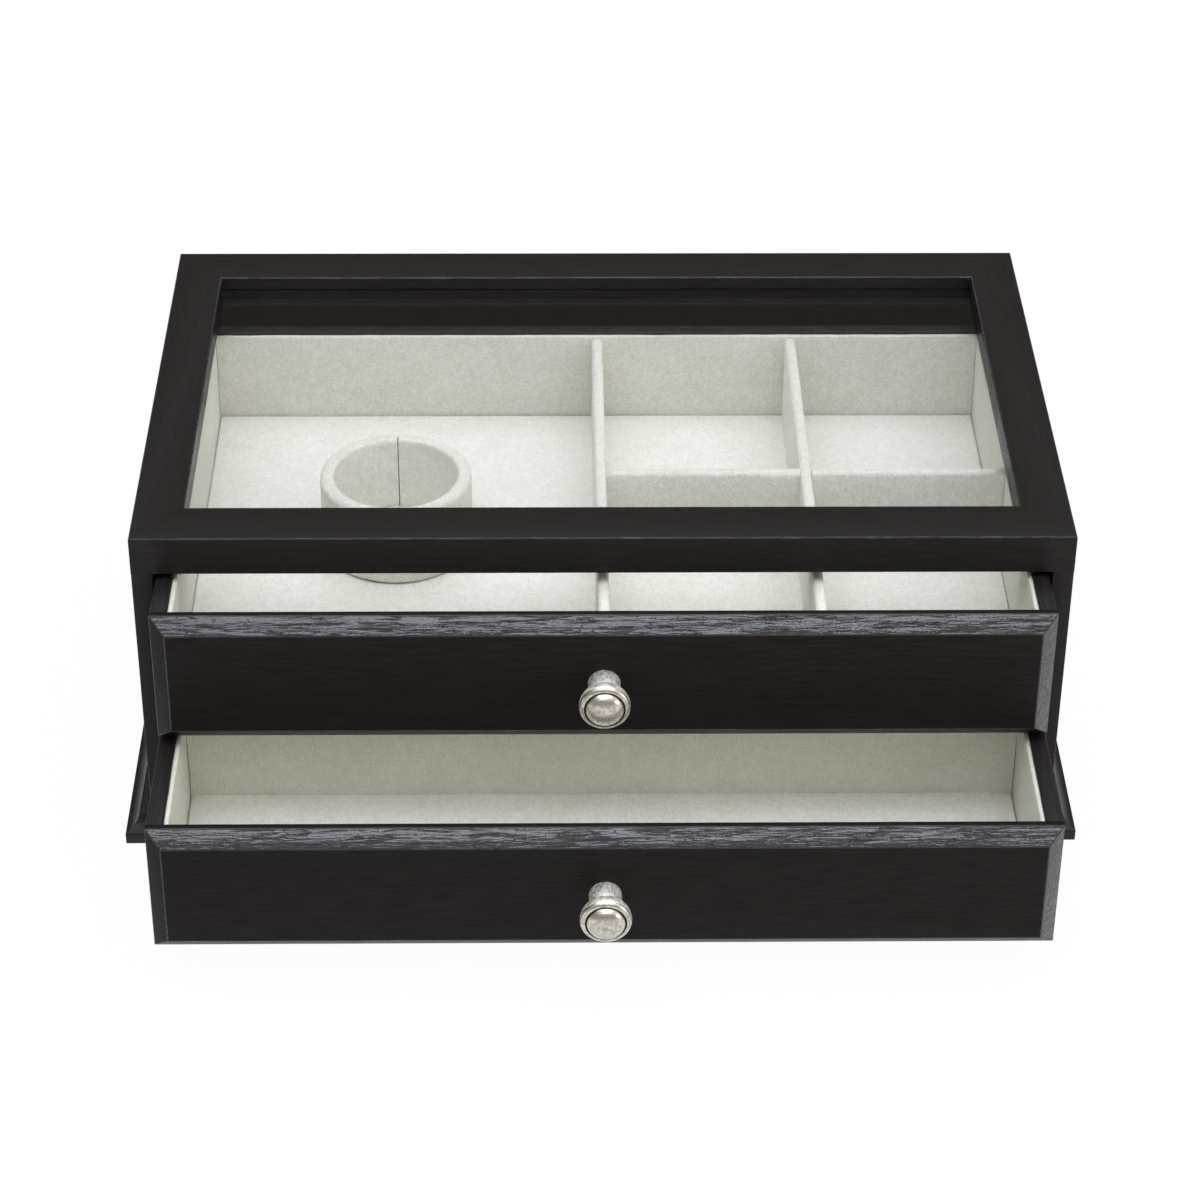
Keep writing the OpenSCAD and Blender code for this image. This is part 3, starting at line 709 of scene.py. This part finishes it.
# The inner faces along the seam, one face wide, take the charcoal felt: painted shade in the seam's gap.
for face in ring.faces:
    middle = face.calc_center_median() - RING_AT
    turn = math.atan2(middle.y, middle.x) - SEAM_AT
    inside = middle.xy.length < RING_SIZES["Middle Radius"]
    face.material_index = int(inside and abs(turn) < SEAM_SHADE_WIDTH / 2)
print("seam faces", sum(face.material_index for face in ring.faces))
crests["upper_drawer"] += crest_faces(ring, 2.0 * MM)
hand_over(ring, "bracelet_ring", ["bracelet_ring_cover"], [pale_felt, dark_felt], crease=60)

# %% [markdown]
# ## Loose fibres along the crests
#
# Where felt is folded over an edge its fibres stand up, and the edge looks bright
# and a little furry. They follow a surface and there are thousands, so Geometry
# Nodes scatter one tiny three-sided spike over the crests, with a fixed seed.

# %% Nap tree
NAP_SIZES = {"Fibres": 2.5e6, "Length": 0.45 * MM, "Thickness": 0.04 * MM}  # fibres to the square metre

tree = bpy.data.node_groups.new("felt_nap", "GeometryNodeTree")
tree.interface.new_socket("Geometry", in_out="INPUT", socket_type="NodeSocketGeometry")
for label in NAP_SIZES:
    tree.interface.new_socket(label, in_out="INPUT", socket_type="NodeSocketFloat")
tree.interface.new_socket("Geometry", in_out="OUTPUT", socket_type="NodeSocketGeometry")
given = add(tree, "NodeGroupInput").outputs
spots = add(
    tree, "GeometryNodeDistributePointsOnFaces",
    {"Mesh": given["Geometry"], "Density": given["Fibres"], "Seed": 11},
)
spike = add(
    tree, "GeometryNodeMeshCone",
    {"Vertices": 3, "Radius Bottom": given["Thickness"], "Depth": given["Length"]},
)
lean = add(
    tree, "FunctionNodeRandomValue",
    {"Min": (-1.1, -1.1, -3.1), "Max": (1.1, 1.1, 3.1), "Seed": 5}, data_type="FLOAT_VECTOR",
)
leaning = add(
    tree, "FunctionNodeRotateRotation",
    {"Rotation": spots.outputs["Rotation"], "Rotate By": lean.outputs[0]}, rotation_space="LOCAL",
)
scattered = add(
    tree, "GeometryNodeInstanceOnPoints",
    {"Points": spots.outputs[0], "Instance": spike.outputs[0], "Rotation": leaning.outputs[0]},
)
real = add(tree, "GeometryNodeRealizeInstances", {0: scattered.outputs[0]})
napped = add(tree, "GeometryNodeSetMaterial", {"Geometry": real.outputs[0], "Material": pale_felt})
add(tree, "NodeGroupOutput", {0: napped.outputs[0]})

# %% Nap of each drawer
for body, faces in crests.items():
    crest_mesh = bpy.data.meshes.new(f"{body}_crests")
    corners = [tuple(corner) for face in faces for corner in face]
    starts = [0]
    for face in faces:
        starts.append(starts[-1] + len(face))
    crest_mesh.from_pydata(corners, [], [tuple(range(a, b)) for a, b in zip(starts, starts[1:])])
    nap_mesh = grown(tree, NAP_SIZES, crest_mesh)
    nap = bpy.data.objects.new(f"{body}_nap", nap_mesh)
    bpy.context.scene.collection.objects.link(nap)
    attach(nap, body)
    print(body, "nap faces", len(nap_mesh.polygons))

# %% [markdown]
# ## Turned knobs
#
# A knob is drawn as half of its outline and spun round its axis: a barrel foot, a
# slight neck, a smoothly rounded head, and a thin groove round a low dome. It follows
# the imported knob's outline with a narrower groove. The groove is blackened, and all
# that lies behind the head's edge has the blasted finish, whose pale colour is painted
# light.

# %% Outline of the knob, as distance from the drawer front and radius in mm
NECK_R, FOOT_R, HEAD_R, GROOVE_R, GROOVE_HALF = 4.5, 5.25, 8.25, 6.45, 0.2
FOOT_END, NECK_END, RIM_AT, LIP_AT, LIP_IN, TIP = 7.0, 7.6, 12.6, 14.3, 0.5, 17.2
GROOVE_DEPTH = 0.7
# The pale finish with its painted light reaches two rows past the head's edge, over a band that would otherwise mirror
# the dark front.
PAINTED_LIGHT_ROWS = 2  # blasting reaches this far round the head's edge


def arc(start, end, steps, point):
    """Points of a curve that a function gives for an angle in degrees."""
    return [point(math.radians(start + (end - start) * i / steps)) for i in range(steps + 1)]


groove_out, groove_in = GROOVE_R + GROOVE_HALF, GROOVE_R - GROOVE_HALF
outline = [(0, 0)]
outline += arc(0, 90, 8, lambda a: (FOOT_END * math.sin(a), NECK_R + (FOOT_R - NECK_R) * math.cos(a)))
outline += arc(
    0, 90, 10,
    lambda a: (NECK_END + (RIM_AT - NECK_END) * (1 - math.cos(a)), NECK_R + (HEAD_R - NECK_R) * math.sin(a)),
)
back_ends = len(outline) + PAINTED_LIGHT_ROWS
outline += arc(
    0, 90, 12,
    lambda a: (RIM_AT + (LIP_AT - RIM_AT) * math.sin(a), groove_out + (HEAD_R - groove_out) * math.cos(a)),
)
groove_starts = len(outline)
outline += [(LIP_AT - GROOVE_DEPTH, groove_out), (LIP_AT - GROOVE_DEPTH, groove_in)]
outline += arc(
    0, 90, 12,
    lambda a: (LIP_AT - LIP_IN + (TIP - LIP_AT + LIP_IN) * math.sin(a), groove_in * math.cos(a)),
)


# %% Spin the knobs
def turned(centre, turns=72):
    """The outline spun round the knob's axis, which points out of the front."""
    mesh = bmesh.new()
    rows = []
    for i in range(turns):
        angle = 2 * math.pi * i / turns
        rows.append([
            mesh.verts.new(centre + Vector((radius * math.cos(angle), -away, radius * math.sin(angle))) * MM)
            for away, radius in outline
        ])
    for i in range(turns):
        here, there = rows[i], rows[(i + 1) % turns]
        for k in range(len(outline) - 1):
            face = mesh.faces.new((here[k], there[k], there[k + 1], here[k + 1]))
            in_groove = groove_starts - 1 <= k <= groove_starts + 1
            face.material_index = 1 if in_groove else 2 if k < back_ends else 0
    bmesh.ops.remove_doubles(mesh, verts=mesh.verts, dist=0.001 * MM)
    bmesh.ops.recalc_face_normals(mesh, faces=mesh.faces)
    return mesh


for name in ("upper_knob", "lower_knob"):
    low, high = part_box(name)
    at = Vector(((low.x + high.x) / 2, high.y, (low.z + high.z) / 2))
    hand_over(turned(at), f"{name}_turned", [name], [knob_nickel, groove_nickel, back_nickel_painted_light], crease=40)
    print(name, "at", [round(v / MM, 1) for v in at])

# %% [markdown]
# ## Nail heads on the back
#
# Panel pins hold the back board. One domed head is made once and set on every
# pin by Geometry Nodes: the points of a bare mesh say where, and each copy gets
# its own small turn so that no two heads shine alike.

# %% Places of the pins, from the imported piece
HEAD_RADIUS = 1.3 * MM
HEAD_TOPS = 94.99 * MM  # heads are flush with the back of the case, at 95 mm
ONE_PIN = 4 * MM  # points nearer to each other than this belong to one pin

pins = bmesh.new()
pins.from_mesh(boards["back_panel_pins"].data)
bmesh.ops.remove_doubles(pins, verts=pins.verts, dist=0.002 * MM)
outer_face = [v.co.copy() for v in pins.verts if v.co.y > HEAD_TOPS]
pins.free()
centres = []
for point in outer_face:
    near = [c for c in centres if (c[0] - point).length < ONE_PIN]
    if near:
        near[0][1].append(point)
    else:
        centres.append((point, [point]))
heads = [sum(group, Vector()) / len(group) for _, group in centres]
print("pins in the back", len(heads))

# %% Heads on points
tree = bpy.data.node_groups.new("pin_heads", "GeometryNodeTree")
tree.interface.new_socket("Geometry", in_out="INPUT", socket_type="NodeSocketGeometry")
tree.interface.new_socket("Head Radius", in_out="INPUT", socket_type="NodeSocketFloat")
tree.interface.new_socket("Geometry", in_out="OUTPUT", socket_type="NodeSocketGeometry")
given = add(tree, "NodeGroupInput").outputs
dome = add(tree, "GeometryNodeMeshUVSphere", {"Segments": 16, "Rings": 8, "Radius": given["Head Radius"]})
flat = add(tree, "GeometryNodeTransform", {"Geometry": dome.outputs[0], "Scale": (1, 0.3, 1)})
spin_each = add(
    tree, "FunctionNodeRandomValue",
    {"Min": (0, -3.1, 0), "Max": (0, 3.1, 0), "Seed": 7}, data_type="FLOAT_VECTOR",
)
set_on = add(
    tree, "GeometryNodeInstanceOnPoints",
    {"Points": given["Geometry"], "Instance": flat.outputs[0], "Rotation": spin_each.outputs[0]},
)
real = add(tree, "GeometryNodeRealizeInstances", {0: set_on.outputs[0]})
steel_heads = add(tree, "GeometryNodeSetMaterial", {"Geometry": real.outputs[0], "Material": zinc_steel})
add(tree, "NodeGroupOutput", {0: steel_heads.outputs[0]})

points = bpy.data.meshes.new("pin_points")
points.from_pydata([tuple(head) for head in heads], [], [])
head_mesh = grown(tree, {"Head Radius": HEAD_RADIUS}, points)
head_mesh.shade_smooth()
pin_heads = bpy.data.objects.new("back_pin_heads", head_mesh)
bpy.context.scene.collection.objects.link(pin_heads)
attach(pin_heads, "case")
print("pin heads, faces", len(head_mesh.polygons))

# %% [markdown]
# ## The light
#
# Most of the light falls from the top of a pale sky, so the floors of the drawers
# are bright and their walls are a tone darker. It is a little cool there and warm
# lower down, which is why shaded felt looks yellower than lit felt. Two weak lamps
# stand on the right. A third, long and narrow, hangs where the top bevels mirror
# the camera's line of sight, and draws their highlights.


# %% Lamps and sky
def softbox(name, at, target, size, power, colour):
    """A rectangular lamp at one point that faces another."""
    lamp = bpy.data.lights.new(name, "AREA")
    lamp.shape = "RECTANGLE"
    lamp.size, lamp.size_y = size
    lamp.energy = power
    lamp.color = linear(colour)[:3]
    holder = bpy.data.objects.new(name, lamp)
    holder.location = at
    holder.rotation_euler = (Vector(target) - Vector(at)).to_track_quat("-Z", "Y").to_euler()
    bpy.context.scene.collection.objects.link(holder)


softbox("broad_right", (1.1, -0.35, 0.85), (0, -0.05, 0.05), (0.9, 0.9), 1.9, "#fffaf2")
softbox("low_right", (1.1, -0.6, 0.35), (0, -0.1, 0.05), (0.7, 0.4), 2.8, "#fffaf2")
softbox("narrow_front", (0.05, -0.9, 0.9), (0, -0.12, 0.06), (1.2, 0.04), 2.8, "#e2ebff")
# The strip is there to be mirrored; its stray light would flatten the felt walls.
bpy.data.objects["narrow_front"].visible_diffuse = False

sky_world = bpy.data.worlds.new("pale_sky")
bpy.context.scene.world = sky_world
sky_world.use_nodes = True
sky = sky_world.node_tree
ways = add(
    sky, "ShaderNodeSeparateXYZ", {0: add(sky, "ShaderNodeTexCoord").outputs["Generated"]}
).outputs


def ramp(way, start, end, low=0.0, high=1.0):
    """A level that goes from low to high between two heights, or from front to back."""
    return add(
        sky, "ShaderNodeMapRange",
        {"Value": way, "From Min": start, "From Max": end, "To Min": low, "To Max": high},
    ).outputs[0]


behind = ramp(ways[1], -0.3, 0.3, 0.42, 0.1)
shoulder = ramp(ways[2], 0.5, 0.66, 0.0, 0.22)
overhead = ramp(ways[2], 0.76, 0.84, 0.0, 2.4)
low_sky = add(sky, "ShaderNodeMath", {0: behind, 1: shoulder}, operation="ADD")
level = add(sky, "ShaderNodeMath", {0: low_sky.outputs[0], 1: overhead}, operation="ADD")
warmth = add(
    sky, "ShaderNodeMix",
    {0: ramp(ways[2], 0.6, 0.8), 6: linear("#fff6e9"), 7: linear("#f6f9ff")}, data_type="RGBA",
)
sky.links.new(warmth.outputs[2], sky.nodes["Background"].inputs["Color"])
sky.links.new(level.outputs[0], sky.nodes["Background"].inputs["Strength"])
print("sky overhead at level", round(overhead.node.inputs["To Max"].default_value, 2))

# %% [markdown]
# ## The paper floor
#
# The floor is white paper. What a camera or a glass ray sees of it is lifted most
# of the way to white, and the rest is real paper, which keeps a faint shadow of
# the box. A gloss ray is lifted less, so the lacquer mirrors the shadow as well.

# %% Floor
REACH = 6
SEEN_WHITE, GLOSS_WHITE = 0.97, 0.95  # shares of plain white that each ray gets
sheet = bpy.data.meshes.new("paper_floor")
corners = [(-REACH, -REACH, 0), (REACH, -REACH, 0), (REACH, REACH, 0), (-REACH, REACH, 0)]
sheet.from_pydata(corners, [], [(0, 1, 2, 3)])
paper, paper_tree, paper_shader = new_finish(
    "white_paper", {"Base Color": linear("#f6f6f6"), "Roughness": 0.9, "Specular IOR Level": 0.1}
)
path = add(paper_tree, "ShaderNodeLightPath").outputs
seen = add(
    paper_tree, "ShaderNodeMath",
    {0: path["Is Camera Ray"], 1: path["Is Transmission Ray"]}, operation="MAXIMUM",
)
plain = add(paper_tree, "ShaderNodeMath", {0: seen.outputs[0], 1: SEEN_WHITE}, operation="MULTIPLY")
gloss = add(paper_tree, "ShaderNodeMath", {0: path["Is Glossy Ray"], 1: GLOSS_WHITE}, operation="MULTIPLY")
share = add(paper_tree, "ShaderNodeMath", {0: plain.outputs[0], 1: gloss.outputs[0]}, operation="MAXIMUM")
glow = add(paper_tree, "ShaderNodeEmission", {"Color": linear("#ffffff"), "Strength": 1.0})
lifted = add(paper_tree, "ShaderNodeMixShader", {0: share.outputs[0], 1: paper_shader.outputs[0], 2: glow.outputs[0]})
paper_tree.links.new(lifted.outputs[0], paper_tree.nodes["Material Output"].inputs[0])
sheet.materials.append(paper)
floor = bpy.data.objects.new("paper_floor", sheet)
bpy.context.scene.collection.objects.link(floor)
